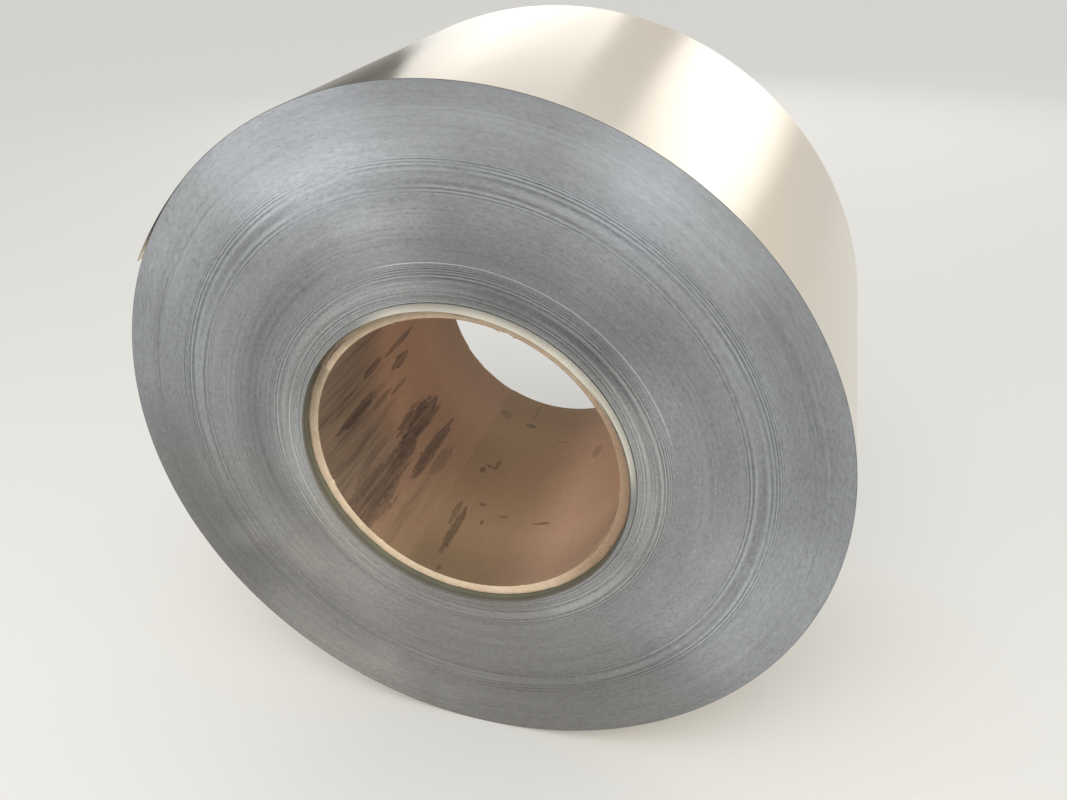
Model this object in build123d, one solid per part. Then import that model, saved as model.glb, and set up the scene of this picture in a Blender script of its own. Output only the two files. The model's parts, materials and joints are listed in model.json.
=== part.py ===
# A roll of bright steel strip, wound on a brown fibre tube and lying on its rim.
# Lengths are in mm. The roll's axis runs along Y, and its near end faces -Y.
# The origin is on the floor, under the middle of the roll.
import os
from math import cos, radians, sin

from build123d import *

# The strip and the roll wound from it
strip_width = 615.0
strip_thickness = 0.8
rim_diameter = 1185.0

# The fibre tube that the strip is wound on
tube_bore = 508.0
tube_wall = 19.0
tube_length = 600.0
tube_recess = 11.0         # from the roll's near end in to the tube's near end
tube_edge_wear = 1.5       # chamfer that handling leaves on the tube's outer corners
tube_clearance = 0.3       # all round, between the tube and the innermost turn

# The innermost turns have slid towards the near end, each one further than the last
collar_steps = 4
turns_per_step = 3
slide_per_step = 2.05

# Turns that stand proud of the near end, and are sunk as far at the far end. Place and
# half width are shares of the way from the collar (0) to the rim (1); height is in mm.
ridges = [
    (0.030, 0.022, 0.5),
    (0.155, 0.035, 0.45),
    (0.199, 0.004, 0.9),
    (0.562, 0.010, 0.6),
    (0.603, 0.022, 0.9),
    (0.655, 0.026, 0.5),
    (0.838, 0.026, 0.55),
]

# The strip's free end has sprung off the rim at the upper left.
# Angles are clockwise from the top, seen from the near end.
tail_root_angle = 318.0
tail_length = 180.0
tail_lift = 6.0

# Worked out from the sizes above
rim_radius = rim_diameter / 2
tube_bore_radius = tube_bore / 2
tube_radius = tube_bore_radius + tube_wall
eye_radius = tube_radius + tube_clearance
step_width = turns_per_step * strip_thickness
collar_radius = eye_radius + collar_steps * step_width
collar_height = collar_steps * slide_per_step
near_end = (collar_height - strip_width) / 2
far_end = near_end + strip_width
lift_to_floor = Pos(0, 0, rim_radius)


def ridge_outline():
    """Radius and height of the near end's ridges, from the rim in to the collar."""
    depth = rim_radius - collar_radius
    points = [(rim_radius, 0.0)]
    for place, half_width, height in sorted(ridges, reverse=True):
        corners = ((place + half_width, 0.0), (place, height), (place - half_width, 0.0))
        points += [(collar_radius + share * depth, rise) for share, rise in corners]
    return points


def collar_outline():
    """Radius and height of the collar's steps, from its foot in to the eye."""
    points = []
    for step in range(collar_steps):
        outer = collar_radius - step * step_width
        height = (step + 1) * slide_per_step
        points += [(outer, height - slide_per_step), (outer, height)]
    points.append((eye_radius, collar_height))
    return points


def wound_roll():
    """The whole winding, turned about the roll's axis."""
    outline = ridge_outline() + collar_outline()
    near = [(radius, near_end - height) for radius, height in outline]
    far = [(radius, y + strip_width) for radius, y in reversed(near)]
    section = make_face(Polyline(*near, *far, close=True))
    return revolve(section, Axis.Y)


def on_rim(travel, radius):
    """A point on the tail, so far along it from its root, seen from the near end."""
    angle = radians(tail_root_angle) - travel / rim_radius
    return (radius * sin(angle), radius * cos(angle))


def tail():
    """The strip's free end, which leaves the rim in a slow curve."""
    def side(inset):
        stations = [(share * tail_length, tail_lift * share ** 2) for share in (0, 0.5, 1)]
        return [on_rim(travel, rim_radius + lift - inset) for travel, lift in stations]

    outer, inner = side(0), side(strip_thickness)
    section = make_face(
        ThreePointArc(*outer) + Line(outer[2], inner[2]) + ThreePointArc(*reversed(inner))
        + Line(inner[0], outer[0])
    )
    return extrude(Plane((0, far_end, 0), x_dir=(1, 0, 0), z_dir=(0, -1, 0)) * section, strip_width)


def steel_coil():
    return lift_to_floor * (wound_roll() + tail())


def core_tube():
    """A plain tube, its outer corners worn round."""
    start = near_end + tube_recess
    end = start + tube_length
    section = make_face(Polyline(
        (tube_bore_radius, start), (tube_radius - tube_edge_wear, start),
        (tube_radius, start + tube_edge_wear), (tube_radius, end - tube_edge_wear),
        (tube_radius - tube_edge_wear, end), (tube_bore_radius, end), close=True,
    ))
    return lift_to_floor * revolve(section, Axis.Y)


os.makedirs("parts", exist_ok=True)
export_step(steel_coil(), "parts/steel_coil.step")
export_step(core_tube(), "parts/core_tube.step")
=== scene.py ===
# A roll of bright steel strip on a brown fibre tube, lying on its rim on a pale floor.
import json
import math
import random

import bpy
from mathutils import Matrix, Vector, noise


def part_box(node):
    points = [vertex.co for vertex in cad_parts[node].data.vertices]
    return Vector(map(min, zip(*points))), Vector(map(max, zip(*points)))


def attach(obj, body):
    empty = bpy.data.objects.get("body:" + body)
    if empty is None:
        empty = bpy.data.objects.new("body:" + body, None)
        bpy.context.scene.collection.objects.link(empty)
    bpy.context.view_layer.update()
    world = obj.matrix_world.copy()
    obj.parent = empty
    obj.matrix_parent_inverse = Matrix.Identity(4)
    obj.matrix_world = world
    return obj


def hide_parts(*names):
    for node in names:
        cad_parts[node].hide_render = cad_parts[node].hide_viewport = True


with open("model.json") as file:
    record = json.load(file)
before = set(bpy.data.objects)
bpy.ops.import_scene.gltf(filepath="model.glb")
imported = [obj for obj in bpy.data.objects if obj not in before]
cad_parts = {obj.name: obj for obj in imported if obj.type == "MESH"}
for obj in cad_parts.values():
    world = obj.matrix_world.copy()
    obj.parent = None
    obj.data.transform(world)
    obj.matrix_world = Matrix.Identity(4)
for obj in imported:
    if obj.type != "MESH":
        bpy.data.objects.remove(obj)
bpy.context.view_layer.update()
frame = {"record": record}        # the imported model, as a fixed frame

mm = 0.001
coilLow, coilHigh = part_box("steel_coil")
tubeLow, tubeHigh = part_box("core_tube")
eyeMount = next(mount for mount in frame["record"]["mounts"] if mount["name"] == "eye")

# The roll's own sizes, in metres. Its axis runs along Y at the height of its rim radius.
roll = {
    "rim": eyeMount["pos_m"][2],
    "turn": 0.8 * mm,             # thickness of the strip
    "collar": 282.9 * mm,         # radius where the slid inner turns begin
    "eye": 273.3 * mm,            # radius of the innermost turn
    "slid": 8.2 * mm,             # how far the innermost turn has slid out
    "farEnd": coilHigh.y,
}
roll["nearEnd"] = coilLow.y + roll["slid"]
tube = {
    "bore": eyeMount["dims"]["r_mm"] * mm,
    "outside": tubeHigh.x,
    "nearEnd": tubeLow.y,
    "farEnd": tubeHigh.y,
}
print("sizes read from the frame")


# Shader maths: a Tone is a value in a material, and what is worked out with it becomes nodes.
class Tone:
    def __init__(self, finish, socket):
        self.finish = finish
        self.socket = socket

    def maths(self, operation, first, second=0.0):
        return self.finish.node("Math", {"operation": operation}, {0: first, 1: second})

    def __add__(self, other):
        return self.maths("ADD", self, other)

    def __radd__(self, other):
        return self.maths("ADD", other, self)

    def __sub__(self, other):
        return self.maths("SUBTRACT", self, other)

    def __rsub__(self, other):
        return self.maths("SUBTRACT", other, self)

    def __mul__(self, other):
        return self.maths("MULTIPLY", self, other)

    def __rmul__(self, other):
        return self.maths("MULTIPLY", other, self)

    def __truediv__(self, other):
        return self.maths("DIVIDE", self, other)

    def __neg__(self):
        return self.maths("MULTIPLY", self, -1.0)

    def __abs__(self):
        return self.maths("ABSOLUTE", self)

    def __pow__(self, other):
        return self.maths("POWER", self, other)

    def most(self, other):
        return self.maths("MAXIMUM", self, other)

    def least(self, other):
        return self.maths("MINIMUM", self, other)

    def rise(self, start, end):       # 0 before start, 1 past end, with a soft slope
        return self.finish.node("MapRange", {"interpolation_type": "SMOOTHSTEP"},
                                {"Value": self, "From Min": start, "From Max": end})

    def bell(self, centre, half):     # 1 at centre, 0 further than half away
        return abs(self - centre).rise(half, 0.0)

    def within(self, start, full, fading, end):     # 1 between full and fading, 0 outside start and end
        return self.rise(start, full) * self.rise(end, fading)


# Anything made of nodes: a finish, or the sky.
class Nodes:
    def __init__(self, tree):
        self.tree = tree

    # any node: its type, its settings, and the values or links of its sockets
    def node(self, kind, settings=None, sockets=None, out=0):
        made = self.tree.nodes.new("ShaderNode" + kind)
        for name, value in (settings or {}).items():
            setattr(made, name, value)
        for key, value in (sockets or {}).items():
            if isinstance(value, Tone):
                self.tree.links.new(value.socket, made.inputs[key])
            else:
                made.inputs[key].default_value = value
        return Tone(self, made.outputs[out])

    def mix(self, share, low, high):
        return self.node("Mix", {"data_type": "RGBA", "clamp_factor": True}, {0: share, 6: low, 7: high}, 2)

    def shade(self, colour, amount):  # a colour made lighter or darker
        plain = colour if isinstance(colour, Tone) else colour[:3]
        return self.node("VectorMath", {"operation": "SCALE"}, {0: plain, "Scale": amount})

    def vector(self, x, y, z):
        return self.node("CombineXYZ", {}, {"X": x, "Y": y, "Z": z})

    def split(self, vector):
        first = self.node("SeparateXYZ", {}, {0: vector}, "X")
        outputs = first.socket.node.outputs
        return first, Tone(self, outputs["Y"]), Tone(self, outputs["Z"])

    def clouds(self, where, scale=1.0, detail=2.0, roughness=0.5):
        return self.node("TexNoise", {}, {"Vector": where, "Scale": scale, "Detail": detail,
                                          "Roughness": roughness})

    def bump(self, height, distance):
        return self.node("Bump", {}, {"Height": height, "Distance": distance, "Strength": 1.0})


class Finish(Nodes):
    socketNames = {
        "colour": "Base Color", "metallic": "Metallic", "roughness": "Roughness", "normal": "Normal",
        "anisotropic": "Anisotropic", "turned": "Anisotropic Rotation", "specular": "Specular IOR Level",
    }

    def __init__(self, name):
        self.material = bpy.data.materials.new(name)
        self.material.use_nodes = True
        super().__init__(self.material.node_tree)
        self.shader = self.tree.nodes["Principled BSDF"]

    def set(self, **values):
        for key, value in values.items():
            socket = self.shader.inputs[self.socketNames[key]]
            if isinstance(value, Tone):
                self.tree.links.new(value.socket, socket)
            else:
                socket.default_value = value

    # the point's place on the roll: distance from the axis, clock angle and place along the axis
    def rollPlace(self):
        self.place = self.node("TexCoord", {}, {}, "Object")
        x, y, z = self.split(self.place)
        self.radius = (x * x + y * y) ** 0.5
        self.across = x / self.radius
        self.up = y / self.radius
        self.aim = self.vector(self.across, self.up, 0.0)
        angle = self.node("Math", {"operation": "ARCTAN2"}, {0: -x, 1: -y})
        self.clock = 180.0 + angle * math.degrees(1.0)
        self.along = -z

    def toward(self, clock):          # 1 at that clock angle, -1 on the opposite side
        angle = math.radians(clock)
        return self.node("VectorMath", {"operation": "DOT_PRODUCT"},
                         {0: self.aim, 1: (math.sin(angle), math.cos(angle), 0.0)}, "Value")

    # noise drawn out along circles about the axis: so many spots a radian, and so many a metre across
    def rings(self, around, outward, detail=2.0, roughness=0.6):
        where = self.vector(self.across * around, self.up * around, self.radius * outward)
        return self.clouds(where, 1.0, detail, roughness)

    # noise drawn out along the axis instead
    def streaks(self, around, inward, detail=2.0, roughness=0.6):
        where = self.vector(self.across * around, self.up * around, self.along * inward)
        return self.clouds(where, 1.0, detail, roughness)


def seen(red, green, blue):           # a colour as it looks on a screen, 0 to 255
    linear = []
    for value in (red, green, blue):
        share = value / 255
        linear.append(share / 12.92 if share <= 0.04045 else ((share + 0.055) / 1.055) ** 2.4)
    return (*linear, 1.0)


# Runs of turns that slid a little out and in by turns. Each set spreads from one radius, crowds
# together away from it and winds outwards round the roll. Radii are shares of the rim radius.
# The sets give both the modelled steps and the painted highlight and shade lines along them.
slidTurns = {
    "weakest": 212.0,            # clock angle where they show least
    "fade": 0.36,                # and how much weaker they are there
    "cleanToward": 343.0,        # clock angle where the outer ones are nearly wiped out
    # centre, spacing, whole winds in one turn, where the first begins, how far it reaches, and strength
    "sets": [
        (0.787, 0.0230, 3, -0.25, 0.048, 1.0),
        (0.525, 0.0212, 2, 0.22, 0.046, 1.15),
        (0.655, 0.0220, 3, 0.10, 0.028, 0.20),
        (0.918, 0.0220, 3, 0.08, 0.026, 0.24),
    ],
}
# Single lines, painted highlights and painted shade where one turn stands proud or sunk: share of the rim
# radius, half width as a share, lighter or darker by, the clock angle of the middle and how near to it (as
# a cosine) the line starts
sheenAndShadeLines = [
    (0.5812, 0.0019, 1.15, 28, 0.60),
    (0.5735, 0.0024, 0.10, 290, 0.90),
    (0.6110, 0.0080, -0.14, 288, 0.75),
    (0.6160, 0.0030, -0.14, 30, 0.85),
    (0.6360, 0.0100, -0.10, 290, 0.75),
    (0.6580, 0.0040, -0.10, 285, 0.85),
    (0.4925, 0.0050, -0.12, 25, 0.60),
    (0.4785, 0.0055, 0.28, 5, 0.20),
    (0.5260, 0.0110, -0.14, 32, 0.75),
    (0.9160, 0.0050, -0.20, 288, 0.955),
    (0.9310, 0.0026, -0.20, 285, 0.930),
    (0.9080, 0.0030, -0.16, 306, 0.960),
]
# Broad patches where the slit edges are lighter or darker, partly cleaner and duller steel and partly
# painted sheen and painted shade; the last three, narrow ones are painted highlight streaks. Clock angle,
# share of the rim radius, half width as a clock angle, half width as a share, and lighter or darker by
steelAndSheenPatches = [
    (25, 0.600, 40, 0.19, -0.31),
    (27, 0.510, 32, 0.06, -0.22),
    (64, 0.700, 28, 0.09, -0.13),
    (36, 0.930, 20, 0.13, 0.30),
    (358, 0.910, 23, 0.14, 0.20),
    (72, 0.920, 26, 0.14, -0.15),
    (86, 0.510, 30, 0.08, 0.26),
    (113, 0.830, 23, 0.30, 0.32),
    (138, 0.510, 24, 0.08, 0.26),
    (210, 0.940, 22, 0.14, 0.28),
    (219, 0.630, 22, 0.18, 0.15),
    (238, 0.700, 16, 0.09, 0.16),
    (252, 0.930, 30, 0.17, -0.27),
    (248, 0.505, 48, 0.08, 0.44),
    (287, 0.625, 54, 0.09, -0.25),
    (316, 0.935, 24, 0.15, 0.36),
    (341, 0.830, 26, 0.12, 0.38),
    (348, 0.700, 14, 0.07, 0.20),
    (331, 0.620, 16, 0.17, -0.11),
    (155, 0.800, 26, 0.26, -0.12),
    (187, 0.930, 4, 0.08, 0.12),
    (202, 0.850, 4, 0.12, 0.12),
    (243, 0.830, 4, 0.18, 0.14),
]
# The end of the winding: the slit edges of the turns, which lie round the axis like a record's grooves
stripEnds = {
    "cool": seen(149, 152, 156),
    # painted shade: a warmer, slightly darker tone for the lower left and the inner turns
    "warm": seen(143, 142, 139),
    "warmToward": 203.0,         # clock angle
    "tick": seen(96, 97, 98),    # short dark marks along the turns
    # painted highlight and shade along turns that have slid
    "slid": 0.33,                # lighter and darker by, where turns have slid
    "grain": 0.34,
    "fine": 0.15,
    "broad": 0.11,
    "cloudy": 0.12,
    "smoothToward": 15.0,        # clock angle where the outer turns are less grainy
    "roughness": 0.36,
    "anisotropic": 0.85,
    "groove": 0.08 * mm,
}


# Painted highlight and shade: light and dark lines along turns that slid out or in, over the modelled
# steps.
def sheenAndShadeOfTurns(look):
    drift = look.rings(2.0, 30, 0.0) - 0.5
    share = look.radius / roll["rim"] + drift * 0.0022
    patchy = look.rings(3.0, 16, 1.0).rise(0.30, 0.60) * 0.65 + 0.35
    weak = look.toward(slidTurns["weakest"])
    fade = 1.0 - weak.rise(0.1, 0.9) * slidTurns["fade"]
    narrower = weak.rise(-0.6, 0.3) * 0.30
    lines = 0.0
    for centre, spacing, winds, lead, reach, strength in slidTurns["sets"]:
        offset = (share - centre) / spacing
        phase = (offset * offset - look.clock * (winds / 360) - lead) * math.tau
        wave = look.node("Math", {"operation": "COSINE"}, {0: phase})
        away = (abs(offset) - offset * 0.15) * (spacing / reach)     # further outwards than inwards
        near = (away + narrower).rise(1.05, 0.75)
        crowded = abs(offset).rise(0.5, 1.3) * 0.35 + 0.65
        lines = wave * near * crowded * strength + lines
    clean = look.toward(slidTurns["cleanToward"]).rise(0.955, 0.995) * share.rise(0.64, 0.70)
    lines = lines * patchy * fade * (1.0 - clean * 0.55) * stripEnds["slid"]
    for centre, half, lighter, clock, start in sheenAndShadeLines:
        window = look.toward(clock).rise(start, (1 + start) / 2)
        lines = lines + share.bell(centre, half) * window * lighter
    return lines


def steelAndSheenOfTurns(look):
    share = look.radius / roll["rim"]
    light = 1.0
    for clock, middle, halfClock, halfShare, lighter in steelAndSheenPatches:
        window = look.toward(clock).rise(math.cos(math.radians(halfClock)), 1.0)
        light = share.bell(middle, halfShare) * window * lighter + light
    return light


# Where single turns show: the shares of the rim radius where they start, are full, fade and end, the
# clock angle, how near to it (as a cosine) they start and are full, and how strongly
singleTurns = {
    "everywhere": 0.05,
    "places": [
        ((0.470, 0.525, 0.525, 0.580), 35, -0.2, 0.7, 0.60),
        ((0.510, 0.660, 0.660, 0.810), 300, 0.1, 0.8, 0.32),
        ((0.620, 0.780, 1.000, 1.100), 185, 0.4, 0.9, 0.07),
    ],
}


def singleTurnStrength(look):
    share = look.radius / roll["rim"]
    strength = singleTurns["everywhere"]
    for shares, clock, start, full, strongest in singleTurns["places"]:
        strength = share.within(*shares) * look.toward(clock).rise(start, full) * strongest + strength
    return strength


def stripEndColours(look):
    grain = look.rings(52, 290, 2.0, 0.75)
    fine = look.rings(22, 330, 2.0, 0.7)
    broad = look.rings(1.6, 80, 1.0)
    cloudy = look.clouds(look.place, 6.0, 2.0, 0.6)
    ticks = look.rings(30, 400, 1.0).rise(0.62, 0.74) * look.clouds(look.place, 11.0, 1.0).rise(0.40, 0.62)
    share = look.radius / roll["rim"]
    # painted shade: warmer and a little darker towards the lower left and on the inner turns
    inward = share.rise(0.84, 0.48)
    warm = look.toward(stripEnds["warmToward"]).rise(0.10, 0.85).most(inward * 0.5)
    colour = look.mix(warm, stripEnds["cool"], stripEnds["warm"])
    light = inward * 0.04 + 1.0 + sheenAndShadeOfTurns(look)
    smoother = share.rise(0.80, 0.90) * look.toward(stripEnds["smoothToward"]).rise(0.45, 0.90)
    grainy = (grain - 0.5) * (stripEnds["grain"] * 2) + (fine - 0.5) * (stripEnds["fine"] * 2)
    light = grainy * (1.0 - smoother * 0.35) + light
    light = light + (broad - 0.5) * (stripEnds["broad"] * 2) + (cloudy - 0.5) * (stripEnds["cloudy"] * 2)
    light = light + (look.rings(1.2, 430, 0.0) - 0.5) * singleTurnStrength(look)
    # painted sheen and painted shade in broad patches, partly cleaner and duller steel
    light = light * steelAndSheenOfTurns(look)
    colour = look.mix(ticks * 0.30, look.shade(colour, light), stripEnds["tick"])
    return colour, grain * 0.6 + fine, cloudy


def stripEndFinish():
    look = Finish("stripEnds")
    look.rollPlace()
    colour, height, cloudy = stripEndColours(look)
    look.set(colour=colour, metallic=0.92, anisotropic=stripEnds["anisotropic"], turned=0.25,
             roughness=stripEnds["roughness"] + (cloudy - 0.5) * 0.10,
             normal=look.bump(height, stripEnds["groove"]))
    return look.material


# The broad face of the strip, as the outermost turn shows it
stripFace = {
    "colour": seen(236, 229, 216),
    "edge": seen(112, 114, 117),     # its slit edge
    "roughness": 0.24,
    "anisotropic": 0.45,
}


def endOn(look):                      # 1 where the surface faces along the roll's axis
    facing = look.split(look.node("TexCoord", {}, {}, "Normal"))[2]
    return abs(facing).rise(0.35, 0.65)


def stripFaceFinish():
    look = Finish("stripFace")
    look.rollPlace()
    grain = look.streaks(2.5, 420)
    smear = look.streaks(9, 1.5)
    wave = look.streaks(5, 2.2, 1.0, 0.4)
    colour = look.shade(stripFace["colour"], 1.0 + (grain - 0.5) * 0.05 + (smear - 0.5) * 0.06)
    colour = look.mix(endOn(look), colour, stripFace["edge"])
    look.set(colour=colour, metallic=1.0, anisotropic=stripFace["anisotropic"], turned=0.25,
             roughness=stripFace["roughness"] + (grain - 0.5) * 0.06 + (smear - 0.5) * 0.05,
             normal=look.bump(wave, 1.2 * mm))
    return look.material


# The innermost turns show slit ends, flanks with a painted sheen at the upper right, and in the eye a dull
# wall
slidFinish = {
    "burnished": seen(207, 204, 195),
    "burnishedToward": 30.0,     # clock angle
    # where the painted sheen is brighter still: clock angle, how near to it (as a cosine) that starts and
    # is full, and by
    "brighter": [(72.0, 0.70, 0.97, 0.32), (348.0, 0.80, 0.98, 0.09)],
    "flank": seen(150, 150, 146),
    "wall": seen(110, 112, 103),
    "wallDeep": seen(124, 127, 114),
    "wallLip": seen(134, 135, 131),
    # painted shade of the gap beside the lip, and the clock angle where it is
    "oily": seen(82, 76, 66),
    "oilyToward": 97.0,
    "lightToward": 255.0,        # clock angle where the wall catches more light
    "flankRoughness": 0.34,
    "endRoughness": 0.40,
    "wallRoughness": 0.50,
}


def slidTurnFinish():
    look = Finish("slidTurns")
    look.rollPlace()
    endColour, height, _ = stripEndColours(look)
    end = endOn(look)
    colour = look.mix(end, slidFinish["flank"], endColour)
    outward = look.radius.rise(roll["eye"], roll["collar"])           # from the lip out to the foot
    # painted sheen: the flanks and ends at the upper right lighter, as reflected light, fading from the lip
    # outwards
    burnished = look.toward(slidFinish["burnishedToward"]).rise(0.40, 0.70)
    sheenLevel = 1.0 - outward * 0.33
    for clock, start, full, brighter in slidFinish["brighter"]:
        sheenLevel = look.toward(clock).rise(start, full) * brighter + sheenLevel
    worn = look.shade(slidFinish["burnished"], sheenLevel)
    colour = look.mix(burnished * (1.0 - outward.rise(0.96, 1.0)), colour, worn)
    wall = look.radius.rise(roll["eye"] + 0.4 * mm, roll["eye"] + 0.2 * mm) * (1.0 - end)
    depth = (look.along - (roll["nearEnd"] - roll["slid"])) / mm
    smudge = look.clouds(look.place, 30.0, 3.0, 0.6)
    inside = look.mix(depth.rise(7.0, 3.0), slidFinish["wall"], slidFinish["wallLip"])
    inside = look.mix(depth.rise(10.0, 15.0), inside, slidFinish["wallDeep"])
    lighter = look.toward(slidFinish["lightToward"]).rise(0.55, 0.90) * 0.35
    colour = look.mix(wall, colour, look.shade(inside, 0.8 + smudge * 0.4 + lighter))
    # painted shade: a dark line along the lip at the right, where the gap between the turns and the tube is
    # in shade
    lip = look.radius.rise(roll["eye"] + 2.2 * mm, roll["eye"] + 1.6 * mm)
    oily = lip * look.toward(slidFinish["oilyToward"]).rise(0.62, 0.88) * (1.0 - wall)
    colour = look.mix(oily * 0.8, colour, slidFinish["oily"])
    bare, dull = slidFinish["flankRoughness"], slidFinish["wallRoughness"]
    roughness = bare + end * (slidFinish["endRoughness"] - bare) + wall * (dull - bare)
    look.set(colour=colour, metallic=1.0 - wall * 0.4, anisotropic=0.5, turned=0.25, roughness=roughness,
             normal=look.bump(height, stripEnds["groove"]))
    return look.material


# The tube: wound brown board, pale where its plies are cut across, stained and scuffed inside
fibreBoard = {
    "wall": seen(170, 138, 110),
    "rosy": seen(172, 137, 113),
    "olive": seen(156, 131, 99),
    # pale: a painted pool of light on the bore's right side
    "pale": seen(203, 168, 139),
    "grey": seen(121, 109, 93),
    "stain": seen(66, 54, 45),
    "cut": seen(229, 206, 177),
    "cutDark": seen(198, 171, 143),
    "cutBrown": seen(158, 128, 102),
    # the cut end's painted shade, partly dull board, and its painted shade beside the gap to the turns
    "dullToward": 25.0,          # clock angles where the cut end is dull, gaping and worn
    "gapToward": 298.0,
    "wornToward": 97.0,
    "roughness": 0.78,
}
# Sides of the tube that differ in colour, the pale one a painted pool of light, as clock angles: where each
# starts, is full, fades and ends
tubeSides = {
    "pale": (88.0, 122.0, 146.0, 182.0),
    "olive": (152.0, 182.0, 208.4, 209.4),
    "grey": (216.0, 250.0, 320.0, 355.0),
    "tan": (206.0, 211.0, 220.0, 228.0),
    "streaky": (206.0, 228.0, 300.0, 340.0),
    "older": (248.0, 276.0, 303.0, 303.6),     # these two on the cut end
    "torn": (303.0, 303.6, 310.0, 326.0),
}
# Stains on the bore, by how strong they are: clock angle, mm in from the tube's near end, half width
# and half length in mm
stains = {
    1.0: [(189.5, 157, 4, 7), (191.0, 501, 11, 7), (238.6, 292, 27, 94)],
    0.85: [(198.5, 118, 9, 66), (163.5, 174, 17, 4), (200.9, 303, 6, 10), (198.5, 322, 9, 4),
           (265.0, 128, 13, 84), (267.0, 318, 13, 38), (236.0, 215, 20, 60), (277.0, 204, 12, 40),
           (275.5, 325, 8, 66), (225.5, 265, 13, 112)],
    0.68: [(196.0, 13, 5, 7), (201.5, 160, 6, 36), (182.0, 187, 9, 4), (192.7, 206, 9, 5),
           (195.9, 335, 4, 20), (260.0, 226, 6, 38), (257.4, 290, 5, 38), (235.0, 80, 36, 135)],
    0.45: [(172.5, 460, 15, 4), (191.5, 552, 4, 30), (205.0, 508, 13, 15), (219.0, 262, 12, 60),
           (253.5, 80, 13, 90), (275.5, 70, 6, 90), (151.0, 400, 10, 22)],
}


def stainOf(look, depth):
    girth = math.radians(1.0) * tube["bore"] / mm           # mm round the bore for one degree
    spot = look.vector(look.clock * girth, depth, 0.0)
    drawn = look.streaks(26, 7, 3.0, 0.6)
    ragged = look.streaks(58, 75, 3.0, 0.7)
    uneven = (drawn - 0.5) * 3.0 + (ragged - 0.5) * 1.5
    stained, edged = 0.0, 0.0
    for strength, rows in stains.items():
        nearest = 9.0
        for clock, into, wide, long in rows:
            middle = (-clock * girth / wide, -into / long, 0.0)
            away = look.node("VectorMath", {"operation": "MULTIPLY_ADD"},
                             {0: spot, 1: (1 / wide, 1 / long, 0.0), 2: middle})
            reach = look.node("VectorMath", {"operation": "DOT_PRODUCT"}, {0: away, 1: away}, "Value")
            nearest = reach.least(nearest)
        reach = nearest + uneven
        stained = (reach.rise(1.08, 0.50) * strength).most(stained)
        edged = (reach.bell(0.74, 0.26) * strength).most(edged)
    inside = 0.46 + drawn.rise(0.36, 0.60) * 0.30 + ragged.rise(0.62, 0.42) * 0.14
    return stained * inside + edged * 0.24, drawn


def boreColour(look, depth):
    stained, drawn = stainOf(look, depth)
    blotchy = look.clouds(look.place, 9.0, 3.0, 0.6)
    colour = look.mix(blotchy.rise(0.35, 0.7) * 0.7, fibreBoard["wall"], fibreBoard["rosy"])
    # painted light: the bore paler on its right side and bottom, where light falls in
    colour = look.mix(look.clock.within(*tubeSides["pale"]) * 0.8, colour, fibreBoard["pale"])
    colour = look.mix(look.clock.within(*tubeSides["olive"]) * 0.75, colour, fibreBoard["olive"])
    # Painted light and shade along the bore: darker near the mouth from the top round the right to the
    # bottom, and deep inside; lighter midway along, and on the left side nearer the mouth
    mouthShade = depth.rise(150.0, 10.0) * look.clock.rise(228.0, 200.0)
    middle = depth.bell(310.0, 190.0) * (0.12 - look.clock.rise(150.0, 212.0) * 0.27
                                         + look.clock.rise(225.0, 262.0) * 0.25)
    uneven = middle - mouthShade * 0.32 - depth.rise(430.0, 580.0) * 0.26
    leftSide = look.clock.rise(222.0, 246.0) * depth.rise(360.0, 220.0)
    colour = look.shade(colour, 1.0 + uneven + leftSide * 0.32)
    grey = look.clock.within(*tubeSides["grey"]) * depth.rise(330.0, 120.0)
    colour = look.mix(grey * 0.75, colour, fibreBoard["grey"])
    tan = look.clock.within(*tubeSides["tan"]) * depth.rise(300.0, 160.0)
    colour = look.mix(tan * 0.6, colour, fibreBoard["olive"])
    broad = look.streaks(16, 4, 3.0, 0.65)
    streaky = look.clock.within(*tubeSides["streaky"]) * depth.rise(360.0, 90.0)
    colour = look.mix(drawn.rise(0.50, 0.64) * streaky * 0.22, colour, fibreBoard["stain"])
    colour = look.mix(broad.rise(0.50, 0.66) * streaky * 0.34, colour, fibreBoard["stain"])
    colour = look.mix(broad.rise(0.46, 0.32) * streaky * 0.35, colour, fibreBoard["wall"])
    return look.mix(stained * 0.92, colour, fibreBoard["stain"]), stained, drawn


def cutColour(look, inBoard):         # where the board is cut across, its plies show as pale rings
    plies = look.clouds(look.vector(look.across * 7.0, look.up * 7.0, inBoard * 1.0), 1.0, 2.0, 0.6)
    patchy = look.clouds(look.place, 45.0, 3.0, 0.7)
    colour = look.mix(plies.rise(0.42, 0.68) * 0.35 + patchy.rise(0.42, 0.62) * 0.35,
                      fibreBoard["cut"], fibreBoard["cutDark"])
    # painted shade on the cut end: darker everywhere but at the bottom and more so outwards, darker still
    # beside the gap at the upper left
    dull = look.toward(fibreBoard["dullToward"]).rise(-0.85, 0.30) * (inBoard.rise(0.0, 11.0) * 0.20 + 0.30)
    gap = look.toward(fibreBoard["gapToward"]).rise(0.76, 0.92) * inBoard.rise(13.5, 16.5) * 0.20
    older = look.clock.within(*tubeSides["older"]) * 0.15
    torn = look.clock.within(*tubeSides["torn"]) * 0.12
    colour = look.shade(colour, 1.0 - dull - gap - older + torn)
    worn = look.toward(fibreBoard["wornToward"]).rise(0.62, 0.90)
    rough = look.rings(40.0, 420.0, 2.0, 0.7)
    colour = look.mix(worn * (rough.rise(0.62, 0.40) * 0.5 + 0.45), colour, fibreBoard["cutBrown"])
    colour = look.mix(worn * rough.rise(0.56, 0.68) * 0.5, colour, fibreBoard["stain"])
    # the outermost two mm of the cut end darker brown: painted shade against the turns, with some wear
    return look.mix(inBoard.rise(17.0, 18.6) * 0.5, colour, fibreBoard["cutBrown"]), plies


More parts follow.
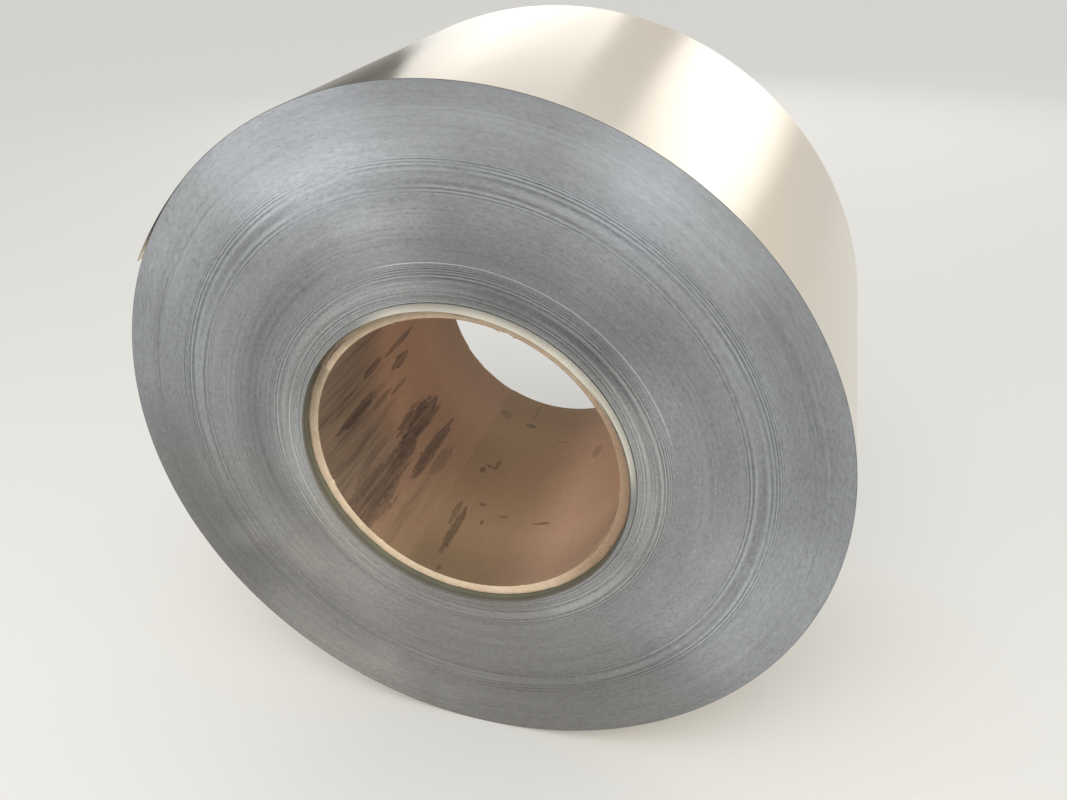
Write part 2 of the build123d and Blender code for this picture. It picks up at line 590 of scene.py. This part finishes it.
def fibreFinish():
    look = Finish("fibreBoard")
    look.rollPlace()
    depth = (look.along - tube["nearEnd"]) / mm
    inBoard = (look.radius - tube["bore"]) / mm
    colour, stained, drawn = boreColour(look, depth)
    ends, plies = cutColour(look, inBoard)
    cut = inBoard.rise(0.7, 1.1)
    colour = look.mix(cut, colour, ends)
    fibres = look.clouds(look.place, 420.0, 2.0, 0.6)
    mottled = look.clouds(look.place, 70.0, 3.0, 0.65)
    colour = look.shade(colour, 1.0 + (fibres - 0.5) * 0.16 + (mottled - 0.5) * 0.24)
    height = fibres * 0.12 + plies * cut * 0.35 + drawn * 0.15
    look.set(colour=colour, metallic=0.0, specular=0.3, normal=look.bump(height, 1.0 * mm),
             roughness=fibreBoard["roughness"] - stained * 0.12)
    return look.material


# Degrees between two faces past which the edge between them is sharp
creases = {"turns": 2.0, "bends": 30.0}


# Meshes are made about their own Z, which place() turns to lie along the roll's axis.
def at(radius, clock, y):
    angle = math.radians(clock)
    return (radius * math.sin(angle), radius * math.cos(angle), -y)


def place(name, points, faces, finish, slot, nodes, crease="turns"):
    mesh = bpy.data.meshes.new(name)
    mesh.from_pydata(points, [], faces)
    mesh.validate()
    mesh.shade_smooth()
    mesh.set_sharp_from_angle(angle=math.radians(creases[crease]))
    piece = bpy.data.objects.new(name, mesh)
    bpy.context.scene.collection.objects.link(piece)
    piece.location = (0, 0, roll["rim"])
    piece.rotation_euler = (math.pi / 2, 0, 0)
    mesh.materials.append(finish)
    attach(piece, "root")
    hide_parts(*nodes)
    print(name, len(mesh.polygons), "faces")


# Closed rings: ring(clock) gives each ring's (radius, y), and the last ring joins the first.
def lathe(rings, segments):
    points, faces = [], []
    for ring in rings:
        for step in range(segments):
            clock = step * 360.0 / segments
            radius, y = ring(clock)
            points.append(at(radius, clock, y))
    count = len(rings)
    for row in range(count):
        here, there = row * segments, (row + 1) % count * segments
        for step in range(segments):
            after = (step + 1) % segments
            faces.append((here + step, here + after, there + after, there + step))
    return points, faces


# The winding's two ends. Turns that slid together stand proud or sunk as one ring.
windingEnds = {
    "segments": 320,
    "seed": 11,
    "slidRun": 2,                # turns in a ring where they have slid
    "plainRun": (4, 7),          # turns in a ring where nothing shows
    "farRun": 10,                # the far end is made of wider rings
    "slidRise": 0.30,            # mm, either way
    "plainRise": 0.08,
    "narrowest": 1.2 * mm,       # next to the collar
    "wander": 0.5 * mm,          # how far a ring's line strays from a true circle
    "trueWithin": 6 * mm,        # of the collar, where it strays less and less
    "step": 0.04 * mm,           # width left for the wall between two rings
}


def slidRise(share, clock):          # the same slide as sheenAndShadeOfTurns paints
    rise = 0.0
    for centre, spacing, winds, lead, reach, strength in slidTurns["sets"]:
        offset = (share - centre) / spacing
        near = 1 - soft((abs(offset) - offset * 0.15) * spacing, reach * 0.75, reach)
        rise += math.cos(math.tau * (offset ** 2 - clock * winds / 360 - lead)) * near * strength
    weak = soft(math.cos(math.radians(clock - slidTurns["weakest"])), 0.1, 0.9)
    return rise * (1 - weak * slidTurns["fade"]) * windingEnds["slidRise"] * mm


def haveSlid(share):                 # only the sets that show strongly need fine rings
    return any(abs(share - centre) < reach * 1.2 and strength > 0.5
               for centre, spacing, winds, lead, reach, strength in slidTurns["sets"])


def runsOfTurns(slidRun, plainRun):   # each ring's outer and inner radius, and its rise
    chance = random.Random(windingEnds["seed"])
    runs = []
    radius = roll["rim"] - roll["turn"]
    while radius > roll["collar"] + windingEnds["narrowest"]:
        turns = slidRun if haveSlid(radius / roll["rim"]) else chance.randint(*plainRun)
        rise = chance.uniform(-1, 1) * windingEnds["plainRise"] * mm
        inner = max(radius - turns * roll["turn"], roll["collar"])
        runs.append((radius, inner, rise))
        radius = inner
    return runs


def stray(radius, clock):            # slow, smooth drift of a ring's line
    angle = math.radians(clock)
    spot = Vector((math.sin(angle) * 1.3, math.cos(angle) * 1.3, radius * 25))
    return noise.noise(spot) * windingEnds["wander"]


def outermost(clock):                # the winding under the last turn is a spiral that steps under the tail
    return roll["rim"] - roll["turn"] * (1.0 + (clock - springing["root"]) % 360 / 360)


def woundRings(end, runs):
    middle = (roll["nearEnd"] + roll["farEnd"]) / 2
    rings = [lambda clock: (roll["collar"], middle)]

    def face(radius, share, rise):
        def ring(clock):
            slack = min(1, (radius - roll["collar"]) / windingEnds["trueWithin"])
            reach = min(radius + stray(radius, clock) * slack, outermost(clock))
            return max(reach, roll["collar"]), end - rise - slidRise(share, clock)
        return ring

    for outer, inner, rise in reversed(runs):
        share = (outer + inner) / 2 / roll["rim"]
        rings.append(face(inner + windingEnds["step"], share, rise))
        rings.append(face(outer, share, rise))
    rings.append(lambda clock: (outermost(clock), end))
    rings.append(lambda clock: (outermost(clock), middle))
    return rings


# The last turn, whose free end has sprung off the rim.
springing = {
    "root": 318.0,       # clock angle where it leaves the rim
    "length": 180 * mm,
    "lift": 6 * mm,
    "across": 24,        # faces across the width
    "step": 1.0,         # degrees
}


def lastTurn():
    rim, turn = roll["rim"], roll["turn"]
    sprung = math.degrees(springing["length"] / rim)
    stations = []                     # from the free end to the root, then once round the roll
    count = round(sprung / springing["step"]) * 2
    for i in range(count):
        share = 1 - i / count
        stations.append((springing["root"] - share * sprung, rim + springing["lift"] * share ** 2))
    for i in range(361):
        stations.append((springing["root"] + i, rim - turn * i / 360))
    points, faces = [], []
    wide = springing["across"]
    loop = 2 * (wide + 1)
    for clock, radius in stations:
        for side in (0, 1):
            for step in range(wide + 1):
                share = step / wide if side == 0 else 1 - step / wide
                y = roll["nearEnd"] + (roll["farEnd"] - roll["nearEnd"]) * share
                points.append(at(radius - side * turn, clock, y))
    for row in range(len(stations) - 1):
        for step in range(loop):
            after = (step + 1) % loop
            here, there = row * loop, (row + 1) * loop
            faces.append((here + step, there + step, there + after, here + after))
    last = (len(stations) - 1) * loop
    for step in range(wide):
        other = loop - 2 - step
        faces.append((step, step + 1, other, other + 1))
        faces.append((last + step + 1, last + step, last + other + 1, last + other))
    return points, faces


# The innermost turns, each slid out a little further than the one outside it.
innerTurns = {
    "count": 12,
    "footGap": 0.15 * mm,        # a fine groove runs round their foot
    "footDepth": 0.3 * mm,
    "eyeRings": (-0.15, 0.0, 0.15),     # extra rings along the eye, as places on the axis
}


def slidTurnRings():
    near, far = roll["nearEnd"], roll["farEnd"]
    thick = (roll["collar"] - roll["eye"]) / innerTurns["count"]
    slide = roll["slid"] / innerTurns["count"]
    profile = [(roll["collar"], far), (roll["collar"], near + innerTurns["footDepth"])]
    foot = roll["collar"] - innerTurns["footGap"]
    profile.append((foot, near + innerTurns["footDepth"]))
    for i in range(innerTurns["count"]):
        outer = min(roll["collar"] - i * thick, foot)
        profile.append((outer, near - (i + 1) * slide))
        profile.append((roll["collar"] - (i + 1) * thick + windingEnds["step"], near - (i + 1) * slide))
    profile.append((roll["eye"], near - roll["slid"]))
    profile += [(roll["eye"], y) for y in innerTurns["eyeRings"]]
    for i in reversed(range(innerTurns["count"])):
        outer = roll["collar"] - i * thick
        profile.append((outer - thick, far - (i + 1) * slide))
        profile.append((outer - windingEnds["step"], far - (i + 1) * slide))
    return [lambda clock, spot=spot: spot for spot in profile]


# The fibre tube, its near end chipped and frayed
fibreTube = {
    "segments": 600,
    "plies": 14,            # rings modelled across the board
    "tornRings": 16,        # rings along the bore near each end, 1 mm apart
    "boreRings": 34,        # rings along the rest of the bore
    "farPlies": 8,          # rings across the far end
    "cornerWear": 1.5 * mm,     # of the near end's outer corner, over the outermost
    "wornBand": 4 * mm,
    "sleeve": 3.5 * mm,     # how far in from the near end the plain outside begins
    "edgeRound": 0.35 * mm,     # how far the near end's outermost ring is drawn in
    "farCorner": (1.2 * mm, 1.5 * mm),  # cut off the far end's outer corner, across and along
    "cutWaves": 0.35 * mm,  # how uneven the cut is, in long waves and in fine ones
    "cutFuzz": 0.25 * mm,
    "dents": 0.5 * mm,      # and the bore
    "ripples": 0.12 * mm,
    "chip": (303.5, 322.0, 266.0 * mm, 5.5 * mm),     # clock from and to, outside this radius, depth
    "peel": (90.0, 119.0, 128.0, 13.5 * mm, 1.5 * mm),  # clock from, deepest and to, depth in, thickness
    "farFray": (206.0, 243.0, 4.0 * mm, 1.2 * mm),    # clock from and to, depth in, thickness
    # small knocks out of the near end: clock angle, inner (0) or outer (1) corner, half width in
    # degrees, and depth in mm
    "knocks": [(93.5, 1, 0.5, 3.0), (288.0, 1, 0.7, 3.0), (252.0, 0, 1.0, 3.5), (221.0, 0, 0.6, 2.0),
               (160.0, 0, 0.8, 2.0), (186.0, 1, 0.6, 1.5), (20.0, 0, 1.2, 2.5), (340.0, 0, 0.8, 1.5)],
}


def soft(value, start, end):
    share = min(1, max(0, (value - start) / (end - start)))
    return share * share * (3 - 2 * share)


def between(clock, start, end, slope):     # 1 between two clock angles, with soft ends inside them
    return soft(clock, start, start + slope) * (1 - soft(clock, end - slope, end))


def tubeEndWear(radius, clock):       # how far the near end is worn back, in metres
    angle = math.radians(clock)
    spot = Vector((math.sin(angle) * 6, math.cos(angle) * 6, radius * 60))
    worn = fibreTube["cutWaves"] * noise.noise(spot) + fibreTube["cutFuzz"] * noise.noise(spot * 7)
    outside = soft(radius, tube["outside"] - fibreTube["wornBand"], tube["outside"])
    worn += outside * fibreTube["cornerWear"] * (0.8 + 0.7 * noise.noise(spot * 2))
    start, end, edge, depth = fibreTube["chip"]
    edge += 2.0 * mm * noise.noise(spot * 5)
    torn = soft(clock, start, start + 1.0) * (1 - soft(clock, start + 8, end))
    worn += torn * depth * soft(radius, edge - 0.6 * mm, edge + 0.6 * mm)
    for middle, corner, half, depth in fibreTube["knocks"]:
        side = soft(radius, tube["outside"] - 5 * mm, tube["outside"] - 1 * mm) if corner else \
            1 - soft(radius, tube["bore"], tube["bore"] + 3 * mm)
        worn += side * depth * mm * (1 - soft(abs(clock - middle), half * 0.4, half))
    return max(0, worn)


def boreTorn(inward, clock):          # how much of the inner ply is gone, so far in from the near end
    start, deepest, end, depth, thickness = fibreTube["peel"]
    reach = depth * soft(clock, start, deepest) * (1 - soft(clock, deepest + 3, end))
    reach *= 1 + 0.25 * noise.noise(Vector((clock * 0.35, 0, 0)))
    return thickness * (1 - soft(inward, reach - 0.9 * mm, reach)) if reach > 1 * mm else 0


def boreFrayed(inward, clock):        # the same at the far end
    start, end, depth, thickness = fibreTube["farFray"]
    reach = depth * between(clock, start, end, 5) * (0.7 + 0.6 * noise.noise(Vector((clock * 0.5, 3, 0))))
    return thickness * (1 - soft(inward, reach - 0.9 * mm, reach)) if reach > 1 * mm else 0


def boreDent(y, clock):
    angle = math.radians(clock)
    spot = Vector((math.sin(angle) * 3, math.cos(angle) * 3, y * 4))
    return max(0, fibreTube["dents"] * noise.noise(spot) + fibreTube["ripples"] * noise.noise(spot * 6))


def tubeRings():
    bore, outside = tube["bore"], tube["outside"]
    near, far = tube["nearEnd"], tube["farEnd"]
    torn, plies, farPlies = fibreTube["tornRings"], fibreTube["plies"], fibreTube["farPlies"]
    farAcross, farAlong = fibreTube["farCorner"]

    def nearRing(share):
        def ring(clock):
            inner = bore + boreTorn(0, clock)
            radius = outside - (outside - inner) * share - (fibreTube["edgeRound"] if share == 0 else 0)
            return radius, near + tubeEndWear(radius, clock)
        return ring

    def farRing(share):
        def ring(clock):
            inner = bore + boreFrayed(0, clock)
            return inner + (outside - farAcross - inner) * share, far
        return ring

    def boreRing(inward):
        def ring(clock):
            start = near + tubeEndWear(bore, clock)
            y = near + inward
            if inward < torn * mm:
                y = max(start + inward * 0.05, y)
            onward = far - y
            gone = boreTorn(inward, clock) + boreFrayed(onward, clock)
            settled = soft(inward, 0, 20 * mm) * soft(onward, 0, 20 * mm)
            return bore + gone + boreDent(y, clock) * settled, y
        return ring

    length = far - near
    depths = [i * mm for i in range(1, torn)]
    plain = length - 2 * torn * mm
    depths += [torn * mm + plain * i / fibreTube["boreRings"] for i in range(fibreTube["boreRings"] + 1)]
    depths += [length - i * mm for i in reversed(range(1, 7))]
    rings = [lambda clock: (outside, far - farAlong), lambda clock: (outside, near + fibreTube["sleeve"])]
    rings += [nearRing(i / plies) for i in range(plies + 1)]
    rings += [boreRing(inward) for inward in depths]
    rings += [farRing(i / farPlies) for i in range(farPlies + 1)]
    return rings


# Slivers of board that have come loose along the tube's ends
slivers = {
    "thickness": 0.5 * mm,
    "step": 0.5,            # degrees between stations
    # clock from and to, which end (-1 near, 1 far), radius at the root and at the tip in mm,
    # how far the root and the tip stand out of the end in mm, and width at the root in mm
    "list": [
        (350.0, 4.8, -1, 262.0, 260.5, -0.2, 1.4, 2.6),
        (13.5, 17.5, -1, 254.6, 252.2, 0.0, 1.2, 2.0),
        (26.5, 22.0, -1, 255.2, 252.8, -0.2, 0.8, 1.8),
        (306.0, 303.8, -1, 262.5, 263.5, -0.2, 1.0, 2.2),
        (208.0, 226.0, 1, 254.6, 253.4, -1.5, -0.6, 1.4),
        (241.0, 228.0, 1, 254.6, 253.6, -1.8, -0.4, 1.2),
    ],
}


def sliverMesh():
    points, faces = [], []
    thick = slivers["thickness"]
    for start, end, side, rootRadius, tipRadius, rootOut, tipOut, width in slivers["list"]:
        if abs(end - start) > 180:
            end += math.copysign(360, start - end)
        base = len(points)
        level = tube["nearEnd"] if side < 0 else tube["farEnd"]
        count = max(4, round(abs(end - start) / slivers["step"]))
        for i in range(count + 1):
            share = i / count
            lifted = share ** 2
            radius = (rootRadius + (tipRadius - rootRadius) * lifted) * mm
            out = (rootOut + (tipOut - rootOut) * lifted) * mm
            wide = width * mm * (1 - 0.85 * share)
            clock = start + (end - start) * share
            for across, deep in ((0, 0), (wide, 0), (wide, thick), (0, thick)):
                points.append(at(radius + across, clock, level + side * (out - deep)))
        for i in range(count):
            here, there = base + i * 4, base + i * 4 + 4
            for first in range(4):
                after = (first + 1) % 4
                faces.append((here + first, here + after, there + after, there + first))
        last = base + count * 4
        faces += [(base + 3, base + 2, base + 1, base), (last, last + 1, last + 2, last + 3)]
    return points, faces


def makeCoil():
    ends, broad, slid, board = stripEndFinish(), stripFaceFinish(), slidTurnFinish(), fibreFinish()
    coil, core = ["steel_coil"], ["core_tube"]
    around = windingEnds["segments"]
    near = woundRings(roll["nearEnd"], runsOfTurns(windingEnds["slidRun"], windingEnds["plainRun"]))
    print("near end has", len(near), "rings")
    place("nearTurns", *lathe(near, around), ends, "strip", coil)
    wide = windingEnds["farRun"]
    far = woundRings(roll["farEnd"], runsOfTurns(wide, (wide, wide)))
    place("farTurns", *lathe(far[::-1], around), ends, "strip", coil)
    place("outerTurn", *lastTurn(), broad, "strip", coil, "bends")
    place("innerTurns", *lathe(slidTurnRings(), around), slid, "strip", coil)
    place("fibreTube", *lathe(tubeRings(), fibreTube["segments"]), board, "fibre_tube", core, "bends")
    place("tubeSlivers", *sliverMesh(), board, "fibre_tube", core, "bends")


# A plain pale floor and soft light. Soft panels behind the roll give its rim their long bands.
stage = {
    "floorSize": 60.0,
    "floorColour": seen(228, 226, 221),
    "skyLow": (0.76, 0.708, 0.642, 1.0),
    "skyHigh": (0.88, 0.90, 0.92, 1.0),
    "skyRise": (0.20, 0.66),     # where the sky starts to brighten and where it has, as sines
    "duskyColour": (0.05, 0.048, 0.045, 1.0),
    "duskyToward": -45.7,        # degrees from straight behind, to the left
    "duskyReach": (0.885, 0.93),  # cosines from where it begins to where it is full
}
# Lamps: place, the point that they face, width, height, watts and colour
lamps = {
    "overhead": ((0.3, -2.6, 3.6), (0.3, -2.0, 0), 2.5, 2.5, 49, (1.0, 0.99, 0.97)),
    "lowLeft": ((-2.4, -2.8, 1.35), (0, -0.3, 0.6), 1.2, 1.2, 14, (0.97, 0.98, 1.0)),
    "frontRight": ((1.0, -3.4, 1.95), (0, -0.3, 0.6), 0.7, 0.7, 15, (0.97, 0.98, 1.0)),
    "panelLeft": ((-1.53, 5.0, 1.45), (0, 0, 1.0), 2.05, 2.0, 15.7, (1.0, 0.99, 0.97)),
    "panelRight": ((1.32, 5.0, 1.98), (0, 0, 1.0), 1.88, 1.35, 10.3, (1.0, 0.99, 0.95)),
}


def makeStage():
    half = stage["floorSize"] / 2
    mesh = bpy.data.meshes.new("floor")
    corners = [(-half, -half, 0), (half, -half, 0), (half, half, 0), (-half, half, 0)]
    mesh.from_pydata(corners, [], [(0, 1, 2, 3)])
    floor = bpy.data.objects.new("floor", mesh)
    bpy.context.scene.collection.objects.link(floor)
    paint = Finish("paleFloor")
    paint.set(colour=stage["floorColour"], roughness=0.85, specular=0.2)
    mesh.materials.append(paint.material)

    world = bpy.data.worlds.new("softSky")
    bpy.context.scene.world = world
    world.use_nodes = True
    sky = Nodes(world.node_tree)
    east, north, upward = sky.split(sky.node("TexCoord", {}, {}, "Generated"))
    low = sky.shade(stage["skyLow"], 0.86 + east.rise(0.15, 0.60) * 0.28)
    colour = sky.mix(upward.rise(*stage["skyRise"]), low, stage["skyHigh"])
    angle = math.radians(stage["duskyToward"])
    dusky = (east * math.sin(angle) + north * math.cos(angle)).rise(*stage["duskyReach"])
    colour = sky.mix(dusky * upward.rise(0.45, 0.30), colour, stage["duskyColour"])
    background = world.node_tree.nodes["Background"]
    world.node_tree.links.new(colour.socket, background.inputs["Color"])

    for name, (spot, target, width, height, watts, tint) in lamps.items():
        light = bpy.data.lights.new(name, "AREA")
        light.shape = "RECTANGLE"
        light.size, light.size_y = width, height
        light.energy = watts
        light.color = tint
        lamp = bpy.data.objects.new(name, light)
        lamp.location = spot
        toward = Vector(target) - Vector(spot)
        lamp.rotation_euler = toward.to_track_quat("-Z", "Y").to_euler()
        lamp.visible_camera = False
        bpy.context.scene.collection.objects.link(lamp)
    print("floor, sky and", len(lamps), "lamps")


# The picture's own viewpoint: above, to the right and close.
view = {
    "eye": (0.4835, -1.3988, 1.4222),
    "right": (0.9564, 0.2898, -0.0357),
    "up": (-0.1196, 0.5004, 0.8575),
    "lens": 30.872,
}


def makeCamera():
    lens = bpy.data.cameras.new("view")
    lens.sensor_width = 36.0
    lens.lens = view["lens"]
    camera = bpy.data.objects.new("view", lens)
    bpy.context.scene.collection.objects.link(camera)
    right = Vector(view["right"]).normalized()
    back = right.cross(Vector(view["up"])).normalized()
    up = back.cross(right)
    turn = Matrix((right, up, back)).transposed()
    camera.matrix_world = Matrix.Translation(view["eye"]) @ turn.to_4x4()
    bpy.context.scene.camera = camera


makeCamera()
makeCoil()
makeStage()
bpy.context.scene.view_settings.view_transform = "Standard"
print("coil made")
